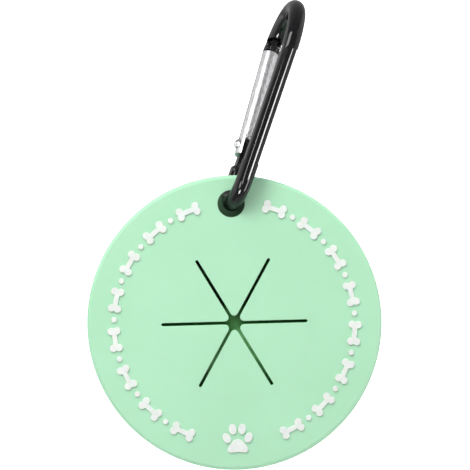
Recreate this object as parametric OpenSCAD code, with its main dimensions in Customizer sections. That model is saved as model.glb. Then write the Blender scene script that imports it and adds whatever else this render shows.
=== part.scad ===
// A round silicone dog poop bag dispenser that hangs from a carabiner.
// The origin is the inside of the carabiner's upper bend, where a ring or strap sits.
// +Z is up and the face of the case looks along -Y.

/* [Case] */
// Diameter of the round case
case_d = 80; // [76:1:92]
// Thickness of the side wall
wall = 2.4; // [2.2:0.1:2.8]
// Thickness of the front plate
plate_t = 3; // [2.6:0.1:3.4]
// Thickness of the wall across the back
back_t = 2.4; // [2:0.1:3.4]
// Rounding of the front edge
front_round = 1.2; // [0.6:0.1:1.6]
// Rounding of the rear edge
rear_round = 6; // [4:0.5:7]
// Depth of the back cap from the seam to the back
cap_depth = 13.5; // [12:0.5:14.5]
// Length of the lip on which the cap is pushed
lip_len = 3; // [2:0.5:3.5]
// Radial clearance between the lip and the front shell
lip_gap = 0.12; // [0.08:0.01:0.2]
// Width of the thumb notch under the seam
notch_w = 16; // [10:1:22]
// Depth of the thumb notch into the wall
notch_depth = 0.9; // [0.5:0.1:1.1]
// Height of the thumb notch on each side of the seam
notch_h = 1.5; // [1:0.1:2.5]

/* [Hanging hole and pocket] */
// Distance from the centre of the hanging hole to the rim
hole_inset = 7.7; // [7.2:0.1:9]
// How much wider than the rod the hanging hole is
hole_play = 2.8; // [2.4:0.1:3.2]
// Rounding of the hanging hole's front edge
hole_round = 0.5; // [0.2:0.1:0.7]
// Radius of the pocket behind the hanging hole
pocket_r = 13.6; // [13:0.1:14.4]
// Thickness of the pocket's wall
pocket_wall = 1.8; // [1.4:0.1:2.2]
// Clearance behind the carabiner's hinge leg in the pocket
pocket_play = 1.6; // [1.2:0.1:2.4]

/* [Star outlet] */
// Distance from the centre to the ends of the six slits
slit_reach = 19.8; // [17:0.1:20.5]
// Width of each slit
slit_w = 0.85; // [0.6:0.05:1.2]
// Radius of the rounded tip of each flap
tip_r = 1.1; // [0.8:0.1:1.6]
// Thickness of the flaps
flap_t = 2; // [1.6:0.1:2.2]
// Clearance round the bending root of each flap
root_gap = 0.12; // [0.08:0.01:0.2]
// How far the root's round edge stays inside the flap's faces
root_relief = 0.03; // [0.02:0.01:0.05]

// Width of the thin land round the star
land_w = 1.7; // [1:0.1:2.4]

/* [Raised trim] */
// Height of the raised white trim
trim_h = 0.45; // [0.3:0.05:0.7]
// Distance from the rim to the middle of the ring of bones and dots
trim_inset = 7.4; // [6:0.1:8.5]
// Length of a bone
bone_len = 6.6; // [5:0.1:7.2]
// Radius of a bone's four knobs
bone_knob_r = 1; // [0.8:0.05:1.2]
// Distance of the knobs' middles from the bone's middle line
bone_knob_out = 0.8; // [0.6:0.05:0.9]
// Thickness of a bone's shaft
bone_bar = 1.3; // [1:0.1:1.6]
// Radius of a dot
dot_r = 0.75; // [0.5:0.05:0.9]
// Number of bones on each side
bone_count = 8; // [5:1:8]
// Angle from the top to the first bone's middle
trim_from = 21; // [20:0.5:26]
// Angle from the top to the last bone's middle
trim_to = 153; // [140:0.5:155]

/* [Paw print] */
// Distance from the rim to the middle of the paw print
paw_inset = 7.9; // [7.5:0.1:11]
// Width of the heel pad
pad_w = 5.6; // [4.6:0.1:6]
// Width of a toe
toe_w = 2.1; // [1.7:0.1:2.2]
// Length of a toe
toe_len = 2.9; // [2.5:0.1:3.2]

/* [Bag roll] */
// Length of the roll
roll_len = 59; // [54:0.5:62]
// Diameter of a full roll
roll_d = 28; // [26:0.5:30]
// Clearance round the roll inside the case
roll_gap = 0.3; // [0.2:0.05:0.6]
// Outer diameter of the core
core_d = 13; // [11:0.5:16]
// Thickness of the core's board
core_t = 1; // [0.8:0.1:1.5]
// How far the core sticks out of each end of the roll
core_proud = 0.5; // [0:0.1:1]

/* [Carabiner rod] */
// Length of the carabiner
clip_len = 61; // [57:0.5:66]
// Diameter of the rod
rod_d = 4.6; // [4.4:0.1:5.2]
// Distance between the middles of the rod at the wide upper bend
bend_top_w = 25.5; // [23:0.5:27]
// Distance between the middles of the rod at the narrow lower bend
bend_low_w = 16; // [15:0.5:17]
// Thickness of the spine between its pressed flats
spine_flat_t = 3.8; // [3.6:0.1:4.3]
// Distance from the top of the carabiner to the start of the flats
flat_from = 14.2; // [12:0.1:18]
// Length of the flats
flat_len = 32.5; // [24:0.5:34]

/* [Carabiner gate] */
// Diameter of the gate
gate_d = 4.6; // [4.2:0.1:4.8]
// Distance from the bottom of the carabiner to the rivet
rivet_up = 18.5; // [17.5:0.1:21]
// Distance from the top of the carabiner down to the end of the nose
nose_down = 14.7; // [12.8:0.1:15.5]
// Gap between the gate and the nose
nose_gap = 0.35; // [0.2:0.05:0.6]
// Thickness of the flat tang at the hinge
tang_t = 1.7; // [1.4:0.1:2]
// Width of the tang
tang_w = 3.8; // [3.4:0.1:4]
// Distance from the rivet down to the top of the leg's shoulder
tang_down = 5.7; // [5:0.1:6.2]
// Height of the shoulder's taper
shoulder_h = 1.2; // [0.6:0.1:1.6]
// Thickness of the hinge leg between its pressed flats
leg_flat_t = 3.3; // [2.8:0.1:4]
// How far the hinge leg's flats reach down the lower bend
leg_flat_down = 2.5; // [1.5:0.1:4]
// Clearance on each side of the tang and the tongue
side_gap = 0.12; // [0.1:0.01:0.2]
// How far the gate's fork reaches past the rivet each way
fork_reach = 3; // [2.8:0.1:3.4]
// Diameter of the rivet's shank
rivet_d = 1.8; // [1.6:0.1:2]
// Radial clearance of the tang on the rivet
rivet_gap = 0.05; // [0.03:0.01:0.08]
// Diameter of the rivet's round heads
rivet_head_d = 3.2; // [2.8:0.1:3.6]
// Height of the rivet's round heads
rivet_head_h = 0.9; // [0.6:0.1:1.1]
// Thickness of the tongue at the top of the gate
tongue_t = 1.5; // [1.2:0.1:1.7]
// Width of the tongue
tongue_w = 2.8; // [2.4:0.1:3]
// Length of the tongue above the gate
tongue_len = 3.3; // [3:0.1:3.6]
// Diameter of the latch pin
pin_d = 1.6; // [1.2:0.1:1.8]
// Length of the latch pin
pin_len = 4.2; // [3.6:0.1:4.4]
// Clearance round the latch pin in the nose
pin_gap = 0.18; // [0.12:0.02:0.26]
// Extra room below the latch pin, for its curved way out
pin_sweep = 0.2; // [0.15:0.05:0.3]
// Distance from the end of the nose to the latch pin
pin_up = 2; // [1.9:0.1:2.4]
// Distance of the latch pin from the gate's middle line, towards the spine
pin_in = 0.9; // [0.6:0.1:1.1]

/* [Gate spring] */
// Diameter of the bore that holds the spring
bore_d = 2.7; // [2.5:0.1:2.9]
// Length of the spring as it sits
spring_len = 11; // [8:0.5:14]
// Outer diameter of the spring
spring_d = 2.3; // [2:0.1:2.4]
// Diameter of the spring's wire
wire_d = 0.36; // [0.3:0.02:0.44]
// Number of turns
spring_turns = 10; // [7:1:11]
// Diameter of the plunger
plunger_d = 2.4; // [2:0.1:2.45]
// Length of the plunger
plunger_len = 2.6; // [2:0.1:3.2]
// Gap at each end of the spring, and between the plunger and the tang
spring_gap = 0.1; // [0.05:0.01:0.15]

/* [Pose of the carabiner] */
// Lean of the carabiner to the right of upright
clip_lean = 20.4; // [0:0.1:25]
// Turn of the carabiner's plane away from edge-on
clip_yaw = 10.5; // [0:0.1:12]
// Distance of the spine's middle line in front of the hanging hole's wall, at its middle
spine_front = 6.2; // [5.8:0.1:6.4]
// How far the rod lies to the right in the hanging hole, as a share of the play
hole_side = 0.14; // [0:0.01:0.18]
// How far the rod lies up in the hanging hole, as a share of the play
hole_rise = 0.12; // [0:0.01:0.16]

/* [Hidden] */
$fn = 96;
eps = 0.01;
// Step in degrees along small drawn arcs
arc_step = 10;
mint = [0.70, 0.93, 0.78];
trim_white = [0.92, 0.98, 0.93];
rod_black = [0.10, 0.10, 0.11];

// Case
case_r = case_d / 2;
cavity_r = case_r - wall;
case_depth = plate_t + roll_d + 2 * roll_gap + back_t;
seam_z = cap_depth - case_depth;
lip_t = wall / 2;
hole_r = (rod_d + hole_play) / 2;
hole_y = case_r - hole_inset;
notch_r = notch_w * notch_w / 8 / notch_depth + notch_depth / 2;

// Star outlet
flap_count = 6;
flap_half = 180 / flap_count;
root_y = slit_reach * cos(flap_half);
root_r = flap_t / 2 - root_relief;
seat_r = root_r + root_gap;
root_half = root_y * tan(flap_half);
flap_corner = root_half - slit_w / 2 / cos(flap_half);
tip_y = (tip_r + slit_w / 2) / sin(flap_half);

// Trim
trim_ring_r = case_r - trim_inset;
paw_drop = case_r - paw_inset;
trim_step = (trim_to - trim_from) / (bone_count - 1);
pad_top_r = 0.36 * pad_w;
pad_top_y = -0.256 * pad_w;
pad_lobe_r = 0.165 * pad_w;
// Gap from the heel pad to each toe in widths of the pad, and the toe's direction and lean
toes = [[0.06, 39, -28], [0.26, 75, -8], [0.26, 105, 8], [0.06, 141, 28]];

// Bag roll
roll_r = roll_d / 2;
roll_z = -plate_t - roll_gap - roll_r;
roll_drop = sqrt(pow(cavity_r - roll_gap, 2) - pow(roll_len / 2, 2)) - roll_r;

// Carabiner, drawn in its own plane: x from the spine to the gate, z up from its bottom
rod_r = rod_d / 2;
top_r = bend_top_w / 2;
low_r = bend_low_w / 2;
top_z = clip_len - rod_r - top_r;
low_z = rod_r + low_r;
nose_z = clip_len - nose_down;
leg_top = rivet_up - tang_down;
gate_slant = atan2(bend_top_w - bend_low_w, nose_z - rivet_up);
nose_s = norm([bend_top_w - bend_low_w, nose_z - rivet_up]);
gate_len = nose_s - nose_gap;
gate_r = gate_d / 2;
pin_s = nose_s + pin_up;
plunger_s = tang_w / 2 + spring_gap;
spring_s = plunger_s + plunger_len + spring_gap;
bore_end = spring_s + spring_len + spring_gap;
fork_w = tang_t + 2 * side_gap;
// The rivet's heads sit in round flats, sunk until their whole rim bears on the gate
head_r = rivet_head_d / 2;
head_seat = sqrt(gate_r * gate_r - head_r * head_r);
head_top = gate_r + rivet_head_h;
head_end = 90 - arc_step;

// Where the rod passes through the hanging hole, in the carabiner's plane
pass_x = spine_front;
pass_z = low_z - sqrt(low_r * low_r - pow(low_r - pass_x, 2));
ring_x = top_r;
ring_z = clip_len - rod_d;
pass = turned([pass_x - ring_x, 0, pass_z - ring_z]);
hole_at = [pass[0] - hole_side * hole_play, pass[1], pass[2] - hole_rise * hole_play];
face_at = [hole_at[0], hole_at[1] - plate_t / 2, hole_at[2] - hole_y];

// The pocket reaches behind the carabiner's hinge leg
leg_depth = (bend_low_w - pass_x) * cos(clip_yaw) + plate_t / 2;
pocket_z = -(leg_depth + rod_r + pocket_play);

// A point of the carabiner's plane in the part's frame
function turned(p) = let (
    a = 90 + clip_yaw,
    x = p[0] * cos(a) - p[1] * sin(a),
    y = p[0] * sin(a) + p[1] * cos(a)
  ) [x * cos(clip_lean) + p[2] * sin(clip_lean), y, p[2] * cos(clip_lean) - x * sin(clip_lean)];

// Puts the carabiner, drawn in its own plane, in its leaning pose
module in_clip() {
  rotate([0, clip_lean, 0])
    rotate([0, 0, 90 + clip_yaw])
      translate([-ring_x, 0, -ring_z])
        children();
}

// Puts a piece drawn along +Z from the rivet on the gate's slanted middle line
module on_gate() {
  in_clip()
    translate([bend_low_w, 0, rivet_up])
      rotate([0, gate_slant, 0])
        children();
}

// Puts the case, drawn face up with its face on z = 0, in its hanging pose
module in_case() {
  translate(face_at)
    rotate([90, 0, 0])
      children();
}

// Quarter-rounded outline of a dish: the outer radius, the height and the rounding of the far corner
function rounded_dish(r, h, round, n = 16) = concat(
  [[0, 0], [r, 0]],
  [for (i = [0:n]) [r - round + round * cos(90 * i / n), h - round + round * sin(90 * i / n)]],
  [[0, h]]
);

module front_shell() {
  color(mint)
    in_case()
      difference() {
        union() {
          shell_body();
          pocket_liner();
        }
        translate([0, hole_y, pocket_z])
          cylinder(r = pocket_r, h = -plate_t - pocket_z);
        hanging_hole();
        star_cut();
        thumb_notch();
      }
}

// Face, side wall and the outer half of the seam
module shell_body() {
  difference() {
    translate([0, 0, seam_z])
      rotate_extrude()
        polygon(rounded_dish(case_r, -seam_z, front_round));
    translate([0, 0, seam_z - eps])
      cylinder(r = cavity_r, h = -plate_t - seam_z + eps);
    translate([0, 0, seam_z - eps])
      cylinder(r = cavity_r + lip_t, h = lip_len + eps);
  }
}

// Round wall and floor of the pocket behind the hanging hole, inside the case's outline
module pocket_liner() {
  intersection() {
    translate([0, hole_y, pocket_z - pocket_wall])
      cylinder(r = pocket_r + pocket_wall, h = -plate_t - pocket_z + pocket_wall + eps);
    translate([0, 0, pocket_z - pocket_wall])
      cylinder(r = cavity_r + wall / 2, h = -pocket_z + pocket_wall - plate_t + eps);
  }
}

// Round hole through the plate, with its front edge rounded
module hanging_hole() {
  translate([0, hole_y, -plate_t - eps])
    rotate_extrude()
      polygon(concat(
        [[0, 0], [hole_r, 0]],
        [for (a = [0:arc_step:90]) [hole_r + hole_round * (1 - cos(a)), plate_t + eps - hole_round * (1 - sin(a))]],
        [[hole_r + hole_round, plate_t + 2 * eps], [0, plate_t + 2 * eps]]
      ));
}

// Six-sided opening for the flaps with a round seat along each side, and the thin land behind it.
// The land stops at the pocket's wall, which keeps the pocket closed.
module star_cut() {
  difference() {
    translate([0, 0, -plate_t - eps])
      cylinder(r = slit_reach + land_w, h = plate_t - flap_t + eps);
    translate([0, hole_y, -plate_t - 2 * eps])
      cylinder(r = pocket_r + pocket_wall, h = plate_t - flap_t + 3 * eps);
  }
  translate([0, 0, -flap_t - eps])
    rotate([0, 0, flap_half])
      linear_extrude(flap_t + 2 * eps)
        polygon([for (i = [0:flap_count - 1]) slit_reach * [sin(60 * i), cos(60 * i)]]);
  for (i = [0:flap_count - 1])
    rotate([0, 0, 60 * i])
      translate([0, root_y, -flap_t / 2])
        rotate([0, 90, 0])
          cylinder(r = seat_r, h = 2 * flap_corner + 2 * root_gap, center = true);
}

// Shallow scoop in the wall at the bottom of the seam
module thumb_notch() {
  translate([0, notch_depth - case_r - notch_r, seam_z])
    cylinder(r = notch_r, h = 2 * notch_h, center = true);
}

// One flap with its tip at the centre and its root at the top
module star_flap(i) {
  color(mint)
    in_case()
      rotate([0, 0, 60 * (i - 1)]) {
        translate([0, 0, -flap_t])
          linear_extrude(flap_t)
            polygon(concat(
              [[flap_corner, root_y], [-flap_corner, root_y]],
              [for (a = [180 + flap_half:arc_step:360 - flap_half]) [tip_r * cos(a), tip_y + tip_r * sin(a)]]
            ));
        translate([0, root_y, -flap_t / 2])
          rotate([0, 90, 0])
            cylinder(r = root_r, h = 2 * (flap_corner - root_r * tan(flap_half)), center = true);
      }
}

module back_cap() {
  color(mint)
    in_case() {
      difference() {
        translate([0, 0, seam_z])
          rotate([180, 0, 0])
            rotate_extrude()
              polygon(rounded_dish(case_r, cap_depth, rear_round));
        translate([0, 0, seam_z + eps])
          rotate([180, 0, 0])
            rotate_extrude()
              polygon(rounded_dish(cavity_r, cap_depth - back_t + eps, rear_round - wall));
      }
      translate([0, 0, seam_z - lip_t])
        difference() {
          cylinder(r = cavity_r + lip_t - lip_gap, h = lip_len + lip_t);
          translate([0, 0, -eps])
            cylinder(r = cavity_r, h = lip_len + lip_t + 2 * eps);
        }
    }
}

// One bone lying along x
module bone() {
  for (x = [-1, 1], y = [-1, 1])
    translate([x * (bone_len / 2 - bone_knob_r), y * bone_knob_out, 0])
      cylinder(r = bone_knob_r, h = trim_h);
  translate([-bone_len / 2 + bone_knob_r, -bone_bar / 2, 0])
    cube([bone_len - 2 * bone_knob_r, bone_bar, trim_h]);
}

module rim_bones() {
  color(trim_white)
    in_case()
      for (side = [-1, 1], i = [0:bone_count - 1])
        rotate([0, 0, side * (trim_from + i * trim_step)])
          translate([0, trim_ring_r, 0])
            bone();
}

module rim_dots() {
  color(trim_white)
    in_case()
      for (side = [-1, 1], i = [0:bone_count - 2])
        rotate([0, 0, side * (trim_from + (i + 0.5) * trim_step)])
          translate([0, trim_ring_r, 0])
            cylinder(r = dot_r, h = trim_h);
}

// Points along an arc about a middle
function arc_points(x, y, r, from, to) =
  [for (a = [from:arc_step:to]) [x + r * cos(a), y + r * sin(a)]];

// Heel pad: a round top, two lower lobes and a shallow notch between them
module paw_pad() {
  lobe_x = pad_w / 2 - pad_lobe_r;
  lobe_y = pad_lobe_r - 0.55 * pad_w;
  color(trim_white)
    in_case()
      translate([0, -paw_drop, 0])
        linear_extrude(trim_h)
          polygon(concat(
            arc_points(0, pad_top_y, pad_top_r, 40, 140),
            arc_points(-lobe_x, lobe_y, pad_lobe_r, 145, 275),
            [[0, -pad_w / 2]],
            arc_points(lobe_x, lobe_y, pad_lobe_r, 265, 395)
          ));
}

// Four oval toes in a fan above the heel pad
module paw_toes() {
  color(trim_white)
    in_case()
      translate([0, pad_top_y - paw_drop, 0])
        for (toe = toes)
          rotate([0, 0, toe[1]])
            translate([pad_top_r + toe[0] * pad_w + toe_len / 2, 0, 0])
              rotate([0, 0, toe[2] - toe[1]])
                linear_extrude(trim_h)
                  polygon([for (a = [0:arc_step:360 - arc_step]) [toe_w / 2 * cos(a), toe_len / 2 * sin(a)]]);
}

// A tube along x on the roll's axis
module on_roll(r_out, r_in, length) {
  in_case()
    translate([0, -roll_drop, roll_z])
      rotate([0, 90, 0])
        difference() {
          cylinder(r = r_out, h = length, center = true);
          cylinder(r = r_in, h = length + 2 * eps, center = true);
        }
}

module roll_core() {
  color([0.72, 0.58, 0.42])
    on_roll(core_d / 2, core_d / 2 - core_t, roll_len);
}

module bag_roll() {
  color([0.35, 0.62, 0.42])
    on_roll(roll_r, core_d / 2 + 0.02, roll_len - 2 * core_proud);
}

module carabiner_body() {
  color(rod_black)
    in_clip()
      difference() {
        union() {
          translate([0, 0, low_z - eps])
            cylinder(r = rod_r, h = top_z - low_z + 2 * eps);
          bend(top_r, top_r, top_z, 0);
          bend(low_r, low_r, low_z, 180);
          hinge_leg();
          tang();
        }
        spine_flats();
        leg_flats();
        nose_cut();
        translate([bend_low_w, 0, rivet_up])
          rotate([90, 0, 0])
            cylinder(r = rivet_d / 2 + rivet_gap, h = tang_t + 2, center = true);
      }
}

// Short straight rod above the lower bend, tapering to the tang
module hinge_leg() {
  translate([bend_low_w, 0, low_z])
    rotate_extrude()
      polygon([
        [0, -eps], [rod_r, -eps], [rod_r, leg_top - shoulder_h - low_z],
        [tang_t / 2, leg_top - low_z], [0, leg_top - low_z]
      ]);
}

// Half ring of rod in the carabiner's plane
module bend(r, x, z, from) {
  translate([x, 0, z])
    rotate([90, 0, 0])
      rotate_extrude(angle = 180, start = from)
        translate([r, 0])
          circle(r = rod_r);
}

// Flat tang between the gate's ears, rising out of the shoulder, with a round end about the rivet
module tang() {
  translate([bend_low_w - tang_w / 2, -tang_t / 2, low_z - eps])
    cube([tang_w, tang_t, rivet_up - low_z + eps]);
  translate([bend_low_w, 0, rivet_up])
    rotate([90, 0, 0])
      cylinder(r = tang_w / 2, h = tang_t, center = true);
}

// Pressed flats on both sides of the spine
module spine_flats() {
  for (side = [-1, 1])
    translate([-rod_r - 1, side * (spine_flat_t / 2 + rod_r) - rod_r, clip_len - flat_from - flat_len])
      cube([rod_d + 2, rod_d, flat_len]);
}

// Pressed flats on both sides of the hinge leg, below the shoulder
module leg_flats() {
  for (side = [-1, 1])
    translate([bend_low_w - rod_d, side * (leg_flat_t / 2 + rod_r) - rod_r, low_z - leg_flat_down])
      cube([2 * rod_d, rod_d, leg_top + leg_flat_down - low_z + 1]);
}

// The nose ends square to the gate, with a slot for the tongue and a notch for the latch pin
module nose_cut() {
  translate([bend_low_w, 0, rivet_up])
    rotate([0, gate_slant, 0]) {
      translate([-rod_d, -rod_d, nose_s - rod_d])
        cube([2 * rod_d, 2 * rod_d, rod_d]);
      translate([-rod_d, -tongue_t / 2 - side_gap, nose_s - 1])
        cube([2 * rod_d, tongue_t + 2 * side_gap, tongue_len + nose_gap + 1]);
      translate([-pin_in, 0, pin_s])
        rotate([90, 0, 0])
          cylinder(r = pin_d / 2 + pin_gap, h = 2 * rod_d, center = true);
      translate([-rod_d - pin_in, -rod_d, pin_s - pin_d / 2 - pin_gap - pin_sweep])
        cube([rod_d, 2 * rod_d, pin_d + 2 * pin_gap + pin_sweep]);
    }
}

module gate() {
  color([0.66, 0.67, 0.68])
    on_gate()
      difference() {
        union() {
          translate([0, 0, -fork_reach])
            cylinder(r = gate_r, h = gate_len + fork_reach);
          translate([-pin_in - tongue_w / 2, -tongue_t / 2, gate_len - 1])
            cube([tongue_w, tongue_t, tongue_len + 1]);
        }
        translate([-gate_d, -fork_w / 2, -fork_reach - 1])
          cube([2 * gate_d, fork_w, 2 * fork_reach + 1]);
        rotate([90, 0, 0])
          cylinder(r = rivet_d / 2 + eps, h = 2 * gate_d, center = true);
        for (side = [90, -90])
          rotate([side, 0, 0])
            translate([0, 0, head_seat])
              cylinder(r = head_r + eps, h = gate_r);
        translate([0, 0, plunger_s - 1])
          cylinder(r = bore_d / 2, h = bore_end - plunger_s + 1);
        translate([-pin_in, 0, pin_s])
          rotate([90, 0, 0])
            cylinder(r = pin_d / 2 + eps, h = 2 * tongue_t, center = true);
      }
}

// Shank with a round head at each side of the gate, turned from one outline
module gate_rivet() {
  color([0.62, 0.63, 0.64])
    on_gate()
      rotate([90, 0, 0])
        rotate_extrude()
          polygon(concat(
            [[0, head_point(head_end, -1)[1]]],
            [for (a = [head_end:-arc_step:0]) head_point(a, -1)],
            [[rivet_d / 2, -head_seat], [rivet_d / 2, head_seat]],
            [for (a = [0:arc_step:head_end]) head_point(a, 1)],
            [[0, head_point(head_end, 1)[1]]]
          ));
}

// A point of the round head's outline, at angle a above its rim
function head_point(a, side) = [head_r * cos(a), side * (head_seat + (head_top - head_seat) * sin(a))];

module latch_pin() {
  color([0.62, 0.63, 0.64])
    on_gate()
      translate([-pin_in, 0, pin_s])
        rotate([90, 0, 0])
          cylinder(r = pin_d / 2, h = pin_len, center = true);
}

// Round wire wound in a helix, one unbroken tube
module gate_spring() {
  color([0.55, 0.56, 0.58])
    on_gate()
      translate([0, 0, spring_s + wire_d / 2])
        polyhedron(points = wire_points, faces = wire_faces);
}

module spring_plunger() {
  color([0.60, 0.60, 0.62])
    on_gate()
      translate([0, 0, plunger_s])
        cylinder(r = plunger_d / 2, h = plunger_len);
}

// Rings of the spring's wire
wire_sides = 6;
wire_rings = 8 * spring_turns;
coil_r = (spring_d - wire_d) / 2;
coil_pitch = (spring_len - wire_d) / spring_turns;
wire_points = [
  for (i = [0:wire_rings], k = [0:wire_sides - 1])
    let (a = 360 * i / 8, b = 360 * k / wire_sides, r = coil_r + wire_d / 2 * cos(b))
      [r * cos(a), r * sin(a), coil_pitch * i / 8 + wire_d / 2 * sin(b)]
];
wire_faces = concat(
  [[for (k = [wire_sides - 1:-1:0]) k]],
  [for (i = [0:wire_rings - 1], k = [0:wire_sides - 1], half = [0, 1])
    let (a = i * wire_sides + k, b = i * wire_sides + (k + 1) % wire_sides)
      half == 0 ? [a, b, b + wire_sides] : [a, b + wire_sides, a + wire_sides]],
  [[for (k = [0:wire_sides - 1]) wire_rings * wire_sides + k]]
);
echo(least_gap_between_turns = coil_pitch - wire_d);

front_shell();
star_flap(1);  // star_flap_1
star_flap(2);  // star_flap_2
star_flap(3);  // star_flap_3
star_flap(4);  // star_flap_4
star_flap(5);  // star_flap_5
star_flap(6);  // star_flap_6
back_cap();
rim_bones();
rim_dots();
paw_pad();
paw_toes();
roll_core();
bag_roll();
carabiner_body();
gate();
gate_rivet();
latch_pin();
gate_spring();
spring_plunger();
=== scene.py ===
# Waste bag dispenser: a soft round case on a carabiner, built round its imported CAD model.
import math

import bmesh
import bpy
from mathutils import Matrix, Vector


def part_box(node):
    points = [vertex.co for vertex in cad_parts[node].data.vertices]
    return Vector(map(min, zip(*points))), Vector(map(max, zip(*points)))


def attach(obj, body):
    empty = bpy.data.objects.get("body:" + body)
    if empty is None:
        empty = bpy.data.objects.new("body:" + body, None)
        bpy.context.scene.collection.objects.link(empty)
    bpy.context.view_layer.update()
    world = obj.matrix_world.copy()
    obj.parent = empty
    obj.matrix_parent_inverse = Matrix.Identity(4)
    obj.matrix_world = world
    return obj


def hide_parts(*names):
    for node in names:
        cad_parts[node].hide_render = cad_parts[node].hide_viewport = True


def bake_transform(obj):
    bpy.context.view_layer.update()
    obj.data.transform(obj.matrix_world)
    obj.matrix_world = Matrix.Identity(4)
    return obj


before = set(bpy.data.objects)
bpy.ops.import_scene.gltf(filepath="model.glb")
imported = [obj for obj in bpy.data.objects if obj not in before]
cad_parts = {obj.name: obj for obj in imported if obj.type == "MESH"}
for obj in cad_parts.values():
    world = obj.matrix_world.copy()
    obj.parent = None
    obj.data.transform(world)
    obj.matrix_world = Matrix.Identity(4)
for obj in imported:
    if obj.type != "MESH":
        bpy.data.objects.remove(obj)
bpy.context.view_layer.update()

# Where things are
# The case is drawn in millimetres with its face on z = 0: x to the right, y up, z towards the viewer.
shellLow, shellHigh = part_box("front_shell")
faceCentre = Vector(((shellLow.x + shellHigh.x) / 2, shellLow.y, (shellLow.z + shellHigh.z) / 2))
caseToWorld = (
    Matrix.Translation(faceCentre)
    @ Matrix(((1, 0, 0, 0), (0, 0, -1, 0), (0, 1, 0, 0), (0, 0, 0, 1)))
    @ Matrix.Scale(0.001, 4)
)

# The carabiner has its own plane, in millimetres: x from the spine to the gate, z up from its lowest point.
clipPose = {"lean": 20.4, "yaw": 10.5, "gateSlant": 18.866,  # degrees
            "ringAcross": 12.75, "ringUp": 56.4,  # where a ring sits in the wide bend
            "hingeAcross": 16, "hingeUp": 18.5, "sleeveLength": 29.03}
clipToWorld = (
    Matrix.Rotation(math.radians(clipPose["lean"]), 4, "Y")
    @ Matrix.Rotation(math.radians(90 + clipPose["yaw"]), 4, "Z")
    @ Matrix.Scale(0.001, 4)
    @ Matrix.Translation((-clipPose["ringAcross"], 0, -clipPose["ringUp"]))
)
gateTurn = (clipToWorld @ Matrix.Rotation(math.radians(clipPose["gateSlant"]), 4, "Y")).to_euler("XYZ")
gateAxis = gateTurn.to_matrix() @ Vector((0, 0, 1))
gateFoot = clipToWorld @ Vector((clipPose["hingeAcross"], 0, clipPose["hingeUp"]))
sleeveTop = gateAxis.dot(gateFoot) + clipPose["sleeveLength"] / 1000

# Helpers for meshes
# Points this near are merged, in millimetres on a drawn shape and in metres on a node's copy. The other two
# are angles in degrees: the most that a flat face bends, and the least turn of an edge that is shaded square.
meshing = {"mergeDrawn": 0.0005, "mergeNode": 1e-6, "flatWithin": 0.5, "squareFrom": 50}


def rotated(degrees):
    return Matrix.Rotation(math.radians(degrees), 4, "Z")


def turnsBy(edge):
    # the angle between an edge's two faces, in degrees
    return math.degrees(edge.calc_face_angle(0))


def vertsOf(geometry):
    return [g for g in geometry if isinstance(g, bmesh.types.BMVert)]


def lineTo(bm, vert, point):
    # draws an edge from a vertex to a point
    made = bmesh.ops.extrude_vert_indiv(bm, verts=[vert])["verts"][0]
    made.co = point
    return made


def arcFrom(bm, vert, centre, degrees, steps, axis=(0, 0, 1)):
    # draws an arc that starts at a vertex and turns about a centre
    made = bmesh.ops.spin(bm, geom=[vert], cent=centre, axis=axis, angle=math.radians(degrees), steps=steps)
    return made["geom_last"][0]


def spunShape(corners, steps, roundings, closed=True):
    # turns an outline of (radius, height) corners about z
    # each rounding is a corner's number, a radius and its steps
    bm = bmesh.new()
    verts = [bm.verts.new((r, 0, z)) for r, z in corners]
    for a, b in zip(verts, verts[1:]):
        bm.edges.new((a, b))
    if closed:
        bm.edges.new((verts[-1], verts[0]))
    for index, radius, segments in roundings:
        bmesh.ops.bevel(bm, geom=[verts[index]], offset=radius, offset_type="OFFSET", segments=segments,
                        profile=0.5, affect="VERTICES", clamp_overlap=True, material=-1)
    bmesh.ops.spin(bm, geom=bm.verts[:] + bm.edges[:], cent=(0, 0, 0), axis=(0, 0, 1),
                   angle=math.tau, steps=steps, use_merge=True)
    bmesh.ops.remove_doubles(bm, verts=bm.verts[:], dist=meshing["mergeDrawn"])
    bmesh.ops.recalc_face_normals(bm, faces=bm.faces[:])
    return bm


def drum(radius, low, high, steps, at=(0, 0)):
    bm = bmesh.new()
    middle = Matrix.Translation((*at, (low + high) / 2))
    bmesh.ops.create_cone(bm, cap_ends=True, segments=steps, radius1=radius, radius2=radius,
                          depth=high - low, matrix=middle)
    return bm


def asObject(bm, name):
    mesh = bpy.data.meshes.new(name)
    bm.to_mesh(mesh)
    bm.free()
    obj = bpy.data.objects.new(name, mesh)
    bpy.context.scene.collection.objects.link(obj)
    return obj


def combined(bm, tool, how):
    # one closed shape joined with, cut by or kept inside another
    work, cutter = asObject(bm, "work"), asObject(tool, "cutter")
    step = work.modifiers.new("step", "BOOLEAN")
    step.object, step.operation, step.solver = cutter, how, "EXACT"
    bpy.context.view_layer.update()
    shaped = work.evaluated_get(bpy.context.evaluated_depsgraph_get())
    result = bmesh.new()
    result.from_mesh(shaped.to_mesh())
    shaped.to_mesh_clear()
    for obj in (work, cutter):
        mesh = obj.data
        bpy.data.objects.remove(obj)
        bpy.data.meshes.remove(mesh)
    return result


def softenEdges(bm, offset, segments, least, skip=None):
    # rounds the edges that turn by more than the least angle, unless skip says to leave one
    picked = [e for e in bm.edges if len(e.link_faces) == 2 and turnsBy(e) > least and not (skip and skip(e))]
    bmesh.ops.bevel(bm, geom=picked, offset=offset, offset_type="OFFSET", segments=segments,
                    profile=0.5, affect="EDGES", clamp_overlap=True, material=-1)


def copyOfNode(node):
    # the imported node's mesh, merged and without the edges inside its flat faces
    bm = bmesh.new()
    bm.from_mesh(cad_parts[node].data)
    bmesh.ops.remove_doubles(bm, verts=bm.verts[:], dist=meshing["mergeNode"])
    bmesh.ops.dissolve_limit(bm, angle_limit=math.radians(meshing["flatWithin"]),
                             use_dissolve_boundaries=False, verts=bm.verts[:], edges=bm.edges[:])
    return bm


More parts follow.
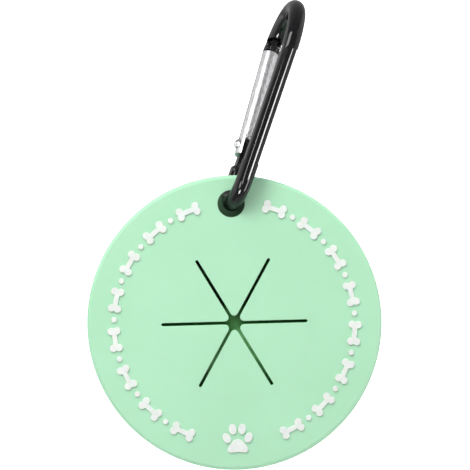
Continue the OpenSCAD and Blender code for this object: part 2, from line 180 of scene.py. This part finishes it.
def finished(bm, name, finish, body, toWorld, standsFor):
    # a piece with no body is not attached to one, and one that is already in its place has no toWorld
    if toWorld is not None:
        bmesh.ops.transform(bm, matrix=toWorld, verts=bm.verts[:])
    for face in bm.faces:
        face.smooth = True
    for edge in bm.edges:
        # corners that were left square are shaded square
        edge.smooth = len(edge.link_faces) == 2 and turnsBy(edge) < meshing["squareFrom"]
    obj = asObject(bm, name)
    obj.data.materials.append(finish)
    obj.modifiers.new("evenShading", "WEIGHTED_NORMAL").keep_sharp = True
    if body:
        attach(obj, body)
    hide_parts(*standsFor)
    return obj


def dressed(node, finish):
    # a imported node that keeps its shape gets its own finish
    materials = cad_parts[node].data.materials
    materials.clear()
    materials.append(finish)


# Helpers for finishes
def newFinish(name, base, roughness, **sockets):
    finish = bpy.data.materials.new(name)
    finish.use_nodes = True
    shader = finish.node_tree.nodes["Principled BSDF"]
    shader.inputs["Base Color"].default_value = (*base, 1)
    shader.inputs["Roughness"].default_value = roughness
    for socket, value in sockets.items():
        shader.inputs[socket.replace("_", " ")].default_value = value
    return finish, finish.node_tree, shader


def placed(tree, stretch=(1, 1, 1), turned=(0, 0, 0)):
    # object coordinates, turned first and then divided by the stretch
    where = tree.nodes.new("ShaderNodeTexCoord")
    mapping = tree.nodes.new("ShaderNodeMapping")
    mapping.vector_type = "TEXTURE"
    mapping.inputs["Scale"].default_value = stretch
    mapping.inputs["Rotation"].default_value = turned
    tree.links.new(where.outputs["Object"], mapping.inputs["Vector"])
    return mapping.outputs["Vector"]


def split(tree, vector):
    # the X, Y and Z of a vector
    node = tree.nodes.new("ShaderNodeSeparateXYZ")
    tree.links.new(vector, node.inputs["Vector"])
    return node.outputs


def noise(tree, vector, scale, detail, rough):
    node = tree.nodes.new("ShaderNodeTexNoise")
    node.inputs["Scale"].default_value = scale
    node.inputs["Detail"].default_value = detail
    node.inputs["Roughness"].default_value = rough
    tree.links.new(vector, node.inputs["Vector"])
    return node.outputs["Fac"]


def spread(tree, value, low, high, fromLow=0.3, fromHigh=0.7):
    node = tree.nodes.new("ShaderNodeMapRange")
    node.inputs["From Min"].default_value, node.inputs["From Max"].default_value = fromLow, fromHigh
    node.inputs["To Min"].default_value, node.inputs["To Max"].default_value = low, high
    tree.links.new(value, node.inputs["Value"])
    return node.outputs["Result"]


def tinted(tree, value, dark, light, fromLow=0.35, fromHigh=0.65):
    ramp = tree.nodes.new("ShaderNodeValToRGB")
    first, last = ramp.color_ramp.elements
    first.position, last.position = fromLow, fromHigh
    first.color, last.color = (*dark, 1), (*light, 1)
    tree.links.new(value, ramp.inputs["Fac"])
    return ramp.outputs["Color"]


def multiplied(tree, colour, other):
    node = tree.nodes.new("ShaderNodeVectorMath")
    node.operation = "MULTIPLY"
    tree.links.new(colour, node.inputs[0])
    tree.links.new(other, node.inputs[1])
    return node.outputs["Vector"]


def product(tree, *values):
    total = values[0]
    for value in values[1:]:
        node = tree.nodes.new("ShaderNodeMath")
        node.operation = "MULTIPLY"
        tree.links.new(total, node.inputs[0])
        tree.links.new(value, node.inputs[1])
        total = node.outputs["Value"]
    return total


def bumped(tree, shader, value, strength, distance, before=None):
    bump = tree.nodes.new("ShaderNodeBump")
    bump.inputs["Strength"].default_value = strength
    bump.inputs["Distance"].default_value = distance
    tree.links.new(value, bump.inputs["Height"])
    if before is not None:
        tree.links.new(before, bump.inputs["Normal"])
    tree.links.new(bump.outputs["Normal"], shader.inputs["Normal"])
    return bump.outputs["Normal"]


def grainedFinish(name, look, shade=None):
    # clouds vary the colour, and the gloss and bumps too, unless the look has patches or a grain for these
    finish, tree, shader = newFinish(name, look["base"], look["rough"], **look["sockets"])
    clouds = noise(tree, placed(tree, *look.get("along", ())), *look["clouds"])
    patches = noise(tree, placed(tree), *look["patches"]) if "patches" in look else clouds
    grain = noise(tree, placed(tree), *look["grain"]) if "grain" in look else clouds
    colour = tinted(tree, clouds, look["dark"], look["light"], *look.get("tintFrom", ()))
    if shade:
        colour = shade(tree, colour)
    tree.links.new(colour, shader.inputs["Base Color"])
    tree.links.new(spread(tree, patches, *look["gloss"]), shader.inputs["Roughness"])
    swelling = bumped(tree, shader, clouds, *look["swell"]) if "swell" in look else None
    bumped(tree, shader, grain, *look["bumps"], swelling)
    return finish


# Finishes
# Clouds, patches and grain are each a noise's scale, detail and roughness. The gloss is the least and the
# most roughness of the surface. Bumps and swell are a strength and a height in metres. A viewer that reads no
# nodes shows base and rough.
mintLook = {"base": (0.425, 0.775, 0.52), "rough": 0.56,
            "sockets": {"IOR": 1.41, "Subsurface_Weight": 0.12, "Subsurface_Scale": 0.0015,
                        "Subsurface_Radius": (0.6, 1.0, 0.7)},
            "clouds": (38, 4, 0.5), "dark": (0.405, 0.75, 0.495), "light": (0.425, 0.775, 0.52),
            "patches": (240, 4, 0.65), "gloss": (0.5, 0.62),
            "swell": (0.1, 0.0004), "grain": (2600, 2, 0.6), "bumps": (0.25, 0.00003)}

# In metres: how far above the face's middle a painted shade is centred, how far it reaches from there, and
# the depths at which it begins, is full and ends. Each tint is the colour of its painted shade.
paintedMintShades = {"pocket": {"up": 0.0323, "reach": 0.0142, "begins": 0.0006, "full": 0.0032, "ends": 0.0155,
                         "tint": (0.12, 0.15, 0.11)},
              "slits": {"up": 0, "reach": 0.0199, "begins": 0.0002, "full": 0.0009, "ends": 0.0019,
                        "tint": (0.5, 1.0, 0.5)}}
shadeLimits = {"skin": 0.0391, "fadeOut": 0.0004, "fadeBack": 0.0002}  # nothing is shaded outside the skin


def paintedDeepShade(tree, colour):
    # painted shade: the pocket behind the hanging hole and the slits' walls are darkened to stand in for
    # shade
    place = split(tree, placed(tree))
    flat = tree.nodes.new("ShaderNodeCombineXYZ")
    tree.links.new(place["X"], flat.inputs["X"])
    tree.links.new(place["Z"], flat.inputs["Z"])

    def within(up, reach):
        distance = tree.nodes.new("ShaderNodeVectorMath")
        distance.operation = "DISTANCE"
        distance.inputs[1].default_value = (faceCentre.x, 0, faceCentre.z + up)
        tree.links.new(flat.outputs["Vector"], distance.inputs[0])
        return spread(tree, distance.outputs["Value"], 1, 0, reach, reach + shadeLimits["fadeOut"])

    inside = within(0, shadeLimits["skin"])
    for shade in paintedMintShades.values():
        begins, full, ends = (faceCentre.y + shade[depth] for depth in ("begins", "full", "ends"))
        after = spread(tree, place["Y"], 0, 1, begins, full)
        before = spread(tree, place["Y"], 1, 0, ends - shadeLimits["fadeBack"], ends)
        area = product(tree, within(shade["up"], shade["reach"]), inside, after, before)
        colour = multiplied(tree, colour, tinted(tree, area, (1, 1, 1), shade["tint"], 0, 1))
    return colour


whiteLook = {"base": (0.7, 0.77, 0.7), "rough": 0.5,
             "sockets": {"IOR": 1.41, "Subsurface_Weight": 0.1, "Subsurface_Scale": 0.0008},
             "clouds": (420, 3, 0.5), "dark": (0.76, 0.8, 0.76), "light": (0.82, 0.86, 0.82),
             "patches": (900, 3, 0.5), "gloss": (0.44, 0.56),
             "grain": (2400, 2, 0.5), "bumps": (0.2, 0.00003)}

blackLook = {"base": (0.006, 0.006, 0.007), "rough": 0.1, "sockets": {"IOR": 1.4},
             "clouds": (900, 5, 0.7), "dark": (0.004, 0.004, 0.005), "light": (0.01, 0.01, 0.011),
             "tintFrom": (0.45, 0.75), "patches": (300, 4, 0.5), "gloss": (0.07, 0.14),
             "grain": (1400, 3, 0.6), "bumps": (0.1, 0.00002)}

# long scratches run along the gate
silverLook = {"base": (0.6, 0.6, 0.61), "rough": 0.3, "sockets": {"Metallic": 1.0},
              "along": ((1, 1, 7), gateTurn), "clouds": (5200, 3, 0.7),
              "dark": (0.34, 0.34, 0.35), "light": (0.7, 0.7, 0.71),
              "gloss": (0.3, 0.48), "bumps": (0.6, 0.00006)}
tongueShade = {"left": 0.08, "fade": 0.0001}  # the share of the colour that is left, and the fade in metres


def blackTongue(tree, colour):
    # the colour of the tongue above the gate's sleeve is darkened nearly to black
    height = split(tree, placed(tree, turned=gateTurn))["Z"]
    return multiplied(tree, colour, spread(tree, height, 1, tongueShade["left"], sleeveTop,
                                           sleeveTop + tongueShade["fade"]))


steelLook = {"base": (0.7, 0.7, 0.7), "rough": 0.25, "sockets": {"Metallic": 1.0},
             "clouds": (1600, 4, 0.7), "dark": (0.52, 0.52, 0.53), "light": (0.7, 0.7, 0.7),
             "gloss": (0.2, 0.36), "bumps": (0.2, 0.00003)}
darkSteelLook = {**steelLook, "base": (0.06, 0.06, 0.062), "dark": (0.02, 0.02, 0.021),
                 "light": (0.06, 0.06, 0.062)}

# the roll's creases and the core's fibres run across the case
filmLook = {"base": (0.17, 0.55, 0.17), "rough": 0.42, "sockets": {"IOR": 1.5}, "along": ((3, 1, 1),),
            "clouds": (520, 5, 0.6), "dark": (0.14, 0.47, 0.14), "light": (0.2, 0.6, 0.2),
            "patches": (700, 3, 0.5), "gloss": (0.34, 0.52), "bumps": (0.4, 0.0002)}

boardLook = {"base": (0.45, 0.33, 0.2), "rough": 0.85, "sockets": {}, "along": ((3, 1, 1),),
             "clouds": (1800, 5, 0.7), "dark": (0.36, 0.26, 0.155), "light": (0.52, 0.39, 0.25),
             "patches": (600, 3, 0.5), "gloss": (0.78, 0.92), "bumps": (0.4, 0.00006)}

# the mint silicone carries painted shade in the pocket and the slits
mint = grainedFinish("mintSilicone", mintLook, paintedDeepShade)
white = grainedFinish("whiteSilicone", whiteLook)
black = grainedFinish("blackRod", blackLook)
silver = grainedFinish("silverGate", silverLook, blackTongue)
film = grainedFinish("bagFilm", filmLook)
board = grainedFinish("coreBoard", boardLook)
steel = grainedFinish("pinSteel", steelLook)
darkSteel = grainedFinish("darkSteel", darkSteelLook)
print("finishes made")

# Front of the case
# Lengths are in millimetres from here to the end of the bag roll, except the trim's. A rounding is a radius
# and its steps, and an edge also has the least angle that is softened.
shell = {"radius": 40, "wall": 2.4, "plate": 3, "seam": -20.5, "seat": 3, "steps": 144,
         "rim": (1.2, 10), "innerRound": (1.0, 5), "edge": (0.3, 3, 40), "starRadius": 21, "starWithin": 0.01,
         "holeUp": 32.3, "holeRadius": 3.7, "holeSteps": 64,
         "pocketRadius": 13.6, "pocketWall": 1.8, "pocketFloor": -15.036, "pocketLap": 0.5, "pocketGap": 0.2,
         "pocketSteps": 96, "cutPast": 1,
         "notchWidth": 16, "notchDepth": 0.9, "notchUp": 1.5, "notchSteps": 192}
innerRadius = shell["radius"] - shell["wall"]
seatRadius = shell["radius"] - shell["wall"] / 2


def frontOfCase():
    outer, opening, seam = shell["radius"], shell["starRadius"], shell["seam"]
    under, seatTop, past = -shell["plate"], seam + shell["seat"], shell["cutPast"]
    corners = [(opening, 0), (outer, 0), (outer, seam), (seatRadius, seam), (seatRadius, seatTop),
               (innerRadius, seatTop), (innerRadius, under), (opening, under)]
    bm = spunShape(corners, shell["steps"], [(1, *shell["rim"]), (6, *shell["innerRound"])])

    # the pocket behind the hanging hole has a wall, which stays clear of the cap's lip
    hole = (0, shell["holeUp"])
    linerRadius = shell["pocketRadius"] + shell["pocketWall"]
    linerEnd = shell["pocketFloor"] - shell["pocketWall"]
    liner = drum(linerRadius, linerEnd, under + shell["pocketLap"], shell["pocketSteps"], hole)
    keep = drum(seatRadius - shell["pocketGap"], linerEnd - past, past, shell["steps"])
    bm = combined(bm, combined(liner, keep, "INTERSECT"), "UNION")
    pocket = drum(shell["pocketRadius"], shell["pocketFloor"], under, shell["pocketSteps"], hole)
    bore = drum(shell["holeRadius"], under - past, past, shell["holeSteps"], hole)

    # a shallow scoop above the seam is the thumb notch
    notchRadius = shell["notchWidth"] ** 2 / 8 / shell["notchDepth"] + shell["notchDepth"] / 2
    scoop = drum(notchRadius, seam - past, seam + shell["notchUp"], shell["notchSteps"],
                 (0, shell["notchDepth"] - outer - notchRadius))
    for cutter in (pocket, bore, scoop):
        bm = combined(bm, cutter, "DIFFERENCE")

    def onStar(edge):
        # the edge that meets the flaps stays square
        return all(abs(v.co.to_2d().length - opening) < shell["starWithin"] for v in edge.verts)

    softenEdges(bm, *shell["edge"], onStar)
    finished(bm, "caseFront", mint, "case", caseToWorld, ["front_shell"])


frontOfCase()
print("case front made")

# The six flaps of the star outlet
star = {"flaps": 6, "reach": 19.8, "slit": 0.85, "tip": 1.1, "thick": 2, "rootWithin": 0.02,
        "rootSteps": 24, "slitSteps": 5, "tipSteps": 12, "edge": (0.13, 2, 50),
        "bendFrom": 17.147, "bendTo": 15.9, "bendCuts": 7, "cutMerge": 0.0001}


def starFlap(number):
    turn = 360 / star["flaps"]
    half, gap = math.radians(turn / 2), star["slit"] / 2
    border = Vector((math.sin(half), math.cos(half), 0))
    side = Vector((math.cos(half), -math.sin(half), 0))  # square to the border, out of the flap
    slitEnd = border * (star["reach"] - gap)
    tipCentre = Vector((0, (star["tip"] + gap) / math.sin(half), 0))
    mirror = Matrix.Scale(-1, 3, (1, 0, 0))

    # the outline, from the left end of the root round to it again
    bm = bmesh.new()
    start = bm.verts.new(mirror @ (border * shell["starRadius"]))
    at = arcFrom(bm, start, (0, 0, 0), -turn, star["rootSteps"])
    at = lineTo(bm, at, border * star["reach"])
    at = arcFrom(bm, at, slitEnd, 90, star["slitSteps"])
    at = lineTo(bm, at, tipCentre + side * star["tip"])
    at = arcFrom(bm, at, tipCentre, turn - 180, star["tipSteps"])
    at = lineTo(bm, at, mirror @ (slitEnd - side * gap))
    at = arcFrom(bm, at, mirror @ slitEnd, 90, star["slitSteps"])
    lineTo(bm, at, start.co)
    bmesh.ops.remove_doubles(bm, verts=bm.verts[:], dist=meshing["mergeDrawn"])
    plate = bmesh.ops.contextual_create(bm, geom=bm.edges[:])["faces"]
    pulled = bmesh.ops.extrude_face_region(bm, geom=plate)["geom"]
    bmesh.ops.translate(bm, vec=(0, 0, -star["thick"]), verts=vertsOf(pulled))
    bmesh.ops.recalc_face_normals(bm, faces=bm.faces[:])

    def joined(edge):
        # edges that meet the next flap or the face stay square, as do those through the plate
        atRoot = all(v.co.to_2d().length > star["reach"] - star["rootWithin"] for v in edge.verts)
        return atRoot or abs(edge.verts[0].co.z - edge.verts[1].co.z) > star["thick"] / 4

    softenEdges(bm, *star["edge"], joined)

    # cuts across the root, where the flap bends
    for step in range(star["bendCuts"]):
        cut = star["bendTo"] + (star["bendFrom"] - star["bendTo"]) * step / (star["bendCuts"] - 1)
        bmesh.ops.bisect_plane(bm, geom=bm.verts[:] + bm.edges[:] + bm.faces[:], dist=star["cutMerge"],
                               plane_co=(0, cut, 0), plane_no=(0, 1, 0))
    place = caseToWorld @ rotated(turn * (number - 1))
    flap = finished(bm, f"starFlap{number}", mint, None, place, [f"star_flap_{number}"])
    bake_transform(flap)


for flapNumber in range(1, star["flaps"] + 1):
    starFlap(flapNumber)
print("star flaps made")

# Back cap
cap = {"back": -34, "rearRound": (6, 16), "seamRound": (0.3, 3), "lipGap": 0.12, "lipEnd": -17.6,
       "lipRound": (0.35, 3), "inside": -31.6, "insideRound": (3.6, 8)}


def backCap():
    outer, seam, back, inside = shell["radius"], shell["seam"], cap["back"], cap["inside"]
    lip, lipEnd = seatRadius - cap["lipGap"], cap["lipEnd"]
    corners = [(0, back), (outer, back), (outer, seam), (lip, seam), (lip, lipEnd), (innerRadius, lipEnd),
               (innerRadius, inside), (0, inside)]
    rounds = [(1, *cap["rearRound"]), (2, *cap["seamRound"]), (4, *cap["lipRound"]), (5, *cap["lipRound"]),
              (6, *cap["insideRound"])]
    bm = spunShape(corners, shell["steps"], rounds, closed=False)
    finished(bm, "backCap", mint, "cap", caseToWorld, ["back_cap"])


backCap()
print("back cap made")

# Raised trim, with its edge in metres
trim = {"edge": (0.00014, 2, 50), "pieces": {"rim_bones": "rimBones", "rim_dots": "rimDots",
                                             "paw_pad": "pawPad", "paw_toes": "pawToes"}}
for node, piece in trim["pieces"].items():
    trimMesh = copyOfNode(node)
    softenEdges(trimMesh, *trim["edge"])
    finished(trimMesh, piece, white, "case", None, [node])
print("trim made")

# Bag roll
roll = {"radius": 14, "core": 6.52, "half": 29, "drop": 8.826, "behind": -17.3,
        "ridges": 9, "ridgeDepth": 0.02, "grooveDepths": (0.12, 0.25), "round": (0.3, 3), "steps": 96}
rollToCase = (
    Matrix.Translation((0, -roll["drop"], roll["behind"]))
    @ Matrix.Rotation(math.radians(90), 4, "Y")
)


def bagRoll():
    outline = [(roll["core"], -roll["half"])]
    span = (roll["radius"] - roll["core"]) / roll["ridges"]
    for k in range(roll["ridges"]):
        outline.append((roll["core"] + span * (k + 0.5), -roll["half"] + roll["grooveDepths"][k % 2]))
        outline.append((roll["core"] + span * (k + 1), -roll["half"] + roll["ridgeDepth"]))
    lastCorner = len(outline) - 1
    outline += [(x, -z) for x, z in reversed(outline)]
    bm = spunShape(outline, roll["steps"], [(lastCorner, *roll["round"]), (lastCorner + 1, *roll["round"])])
    finished(bm, "bagRoll", film, "roll", caseToWorld @ rollToCase, ["bag_roll"])


bagRoll()
dressed("roll_core", board)
print("bag roll made")

# Carabiner, with its edges in metres
metal = {"rodEdge": 0.00018, "gateEdge": 0.0001, "pinEdge": 0.00008, "edgeSteps": 2, "edgeFrom": 28}
for node, piece, finish, slotName, body, edge in (
        ("carabiner_body", "carabinerBody", black, "black_rod", "clip", metal["rodEdge"]),
        ("gate", "gateSleeve", silver, "silver_gate", "gate_arm", metal["gateEdge"]),
        ("gate_rivet", "gateRivet", steel, "pin_steel", "gate_arm", metal["pinEdge"]),
        ("latch_pin", "latchPin", darkSteel, "pin_steel", "gate_arm", metal["pinEdge"])):
    partMesh = copyOfNode(node)
    softenEdges(partMesh, edge, metal["edgeSteps"], metal["edgeFrom"])
    finished(partMesh, piece, finish, body, None, [node])
for node in ("gate_spring", "spring_plunger"):
    dressed(node, steel)
print("carabiner made")

# Floor and room, in metres
# The floor sweeps up into a wall, and the wall is bright only behind the object.
stage = {"half": 3, "floorUp": -1.0, "wallBehind": 1.1, "bend": 0.3, "bendSteps": 12, "wallHigh": 3,
         "pale": (0.85, 0.85, 0.85), "rough": 0.7, "glow": 1.0, "glowFrom": (-0.05, 0.1)}
# the room is a little darker behind the camera than round and behind the object
room = {"front": 0.3, "around": 0.4, "from": (-0.6, 0)}


def sweepAndRoom():
    sweep = bmesh.new()
    bendStart = stage["wallBehind"] - stage["bend"]
    near = sweep.verts.new((-stage["half"], -stage["half"], stage["floorUp"]))
    corner = lineTo(sweep, near, (-stage["half"], bendStart, stage["floorUp"]))
    bendCentre = (-stage["half"], bendStart, stage["floorUp"] + stage["bend"])
    foot = arcFrom(sweep, corner, bendCentre, 90, stage["bendSteps"], (1, 0, 0))
    lineTo(sweep, foot, (-stage["half"], stage["wallBehind"], stage["floorUp"] + stage["wallHigh"]))
    wide = bmesh.ops.extrude_edge_only(sweep, edges=sweep.edges[:])["geom"]
    bmesh.ops.translate(sweep, vec=(2 * stage["half"], 0, 0), verts=vertsOf(wide))
    floor = asObject(sweep, "floor")
    floor.data.shade_smooth()
    finish, tree, shader = newFinish("paleFloor", stage["pale"], stage["rough"],
                                     Emission_Strength=stage["glow"])
    behind = spread(tree, split(tree, placed(tree))["Y"], 0, 1, *stage["glowFrom"])
    tree.links.new(tinted(tree, behind, (0, 0, 0), (1, 1, 1), 0, 1), shader.inputs["Emission Color"])
    floor.data.materials.append(finish)
    floor.visible_glossy = False

    world = bpy.data.worlds.new("studio")
    bpy.context.scene.world = world
    world.use_nodes = True
    sky = world.node_tree
    heading = sky.nodes.new("ShaderNodeTexCoord").outputs["Generated"]
    strength = spread(sky, split(sky, heading)["Y"], room["front"], room["around"], *room["from"])
    sky.links.new(strength, sky.nodes["Background"].inputs["Strength"])
    sky.nodes["Background"].inputs["Color"].default_value = (1, 1, 1, 1)


sweepAndRoom()
print("stage set")

# Lights
# Each has a place, a width and height, a power, and whether it lights surfaces and is reflected in them.
aimHeight = -0.06  # about the middle of the whole object
aim = Vector((faceCentre.x, 0, aimHeight))
lights = {"keyLight": ((-0.32, -0.48, 0.4), (0.34, 0.34), 3.3, True, True),
          "topLight": ((0, -0.34, 0.36), (0.8, 0.5), 2.0, True, False),
          "sidePanel": ((0.65, 0.05, -0.03), (0.9, 0.9), 1.5, True, True),
          "lowPanel": ((0, 0.15, -0.7), (0.9, 0.9), 1.2, True, True),
          # the rest only make the streaks along the gate and the rod
          "leftPanel": ((-0.65, 0.1, 0.05), (0.9, 0.9), 2.6, False, True),
          "rightStrip": ((0.35, -0.34, -0.15), (0.15, 0.14), 2.5, False, True),
          "leftStrip": ((-0.15, -0.45, -0.07), (0.03, 0.32), 0.8, False, True),
          "bendSpot": ((-0.17, -0.33, -0.42), (0.11, 0.11), 1.5, False, True),
          "bendStreak": ((0.37, -0.26, -0.4), (0.14, 0.36), 1.7, False, True),
          "bendSheen": ((-0.3, -0.38, -0.17), (0.14, 0.16), 0.6, False, True)}


def softbox(name, place, size, power, lighting, reflected):
    lamp = bpy.data.lights.new(name, "AREA")
    lamp.shape, lamp.size, lamp.size_y, lamp.energy = "RECTANGLE", *size, power
    obj = bpy.data.objects.new(name, lamp)
    obj.location = place
    obj.rotation_mode = "QUATERNION"
    obj.rotation_quaternion = (aim - Vector(place)).to_track_quat("-Z", "Y")
    obj.visible_diffuse, obj.visible_glossy = lighting, reflected
    bpy.context.scene.collection.objects.link(obj)


for lightName, settings in lights.items():
    softbox(lightName, *settings)
print("lights set")

# Camera, with across and up in metres from the face's middle, and its roll in degrees
view = {"lens": 127.3, "sensor": 36, "clip": (0.01, 20), "distance": 0.45, "across": 0.00082, "up": 0.02377,
        "roll": 1.6}


def viewCamera():
    lens = bpy.data.cameras.new("camera")
    lens.lens, lens.sensor_width = view["lens"], view["sensor"]
    lens.clip_start, lens.clip_end = view["clip"]
    camera = bpy.data.objects.new("camera", lens)
    tilt = math.radians(view["roll"])
    right = Vector((math.cos(tilt), 0, -math.sin(tilt)))
    upward = Vector((math.sin(tilt), 0, math.cos(tilt)))
    towards = Vector((0, -1, 0))
    spot = faceCentre + Vector((view["across"], -view["distance"], view["up"]))
    camera.matrix_world = Matrix.Translation(spot) @ Matrix((right, upward, towards)).transposed().to_4x4()
    bpy.context.scene.collection.objects.link(camera)
    bpy.context.scene.camera = camera
    bpy.context.scene.view_settings.view_transform = "Standard"


viewCamera()
print("camera set")
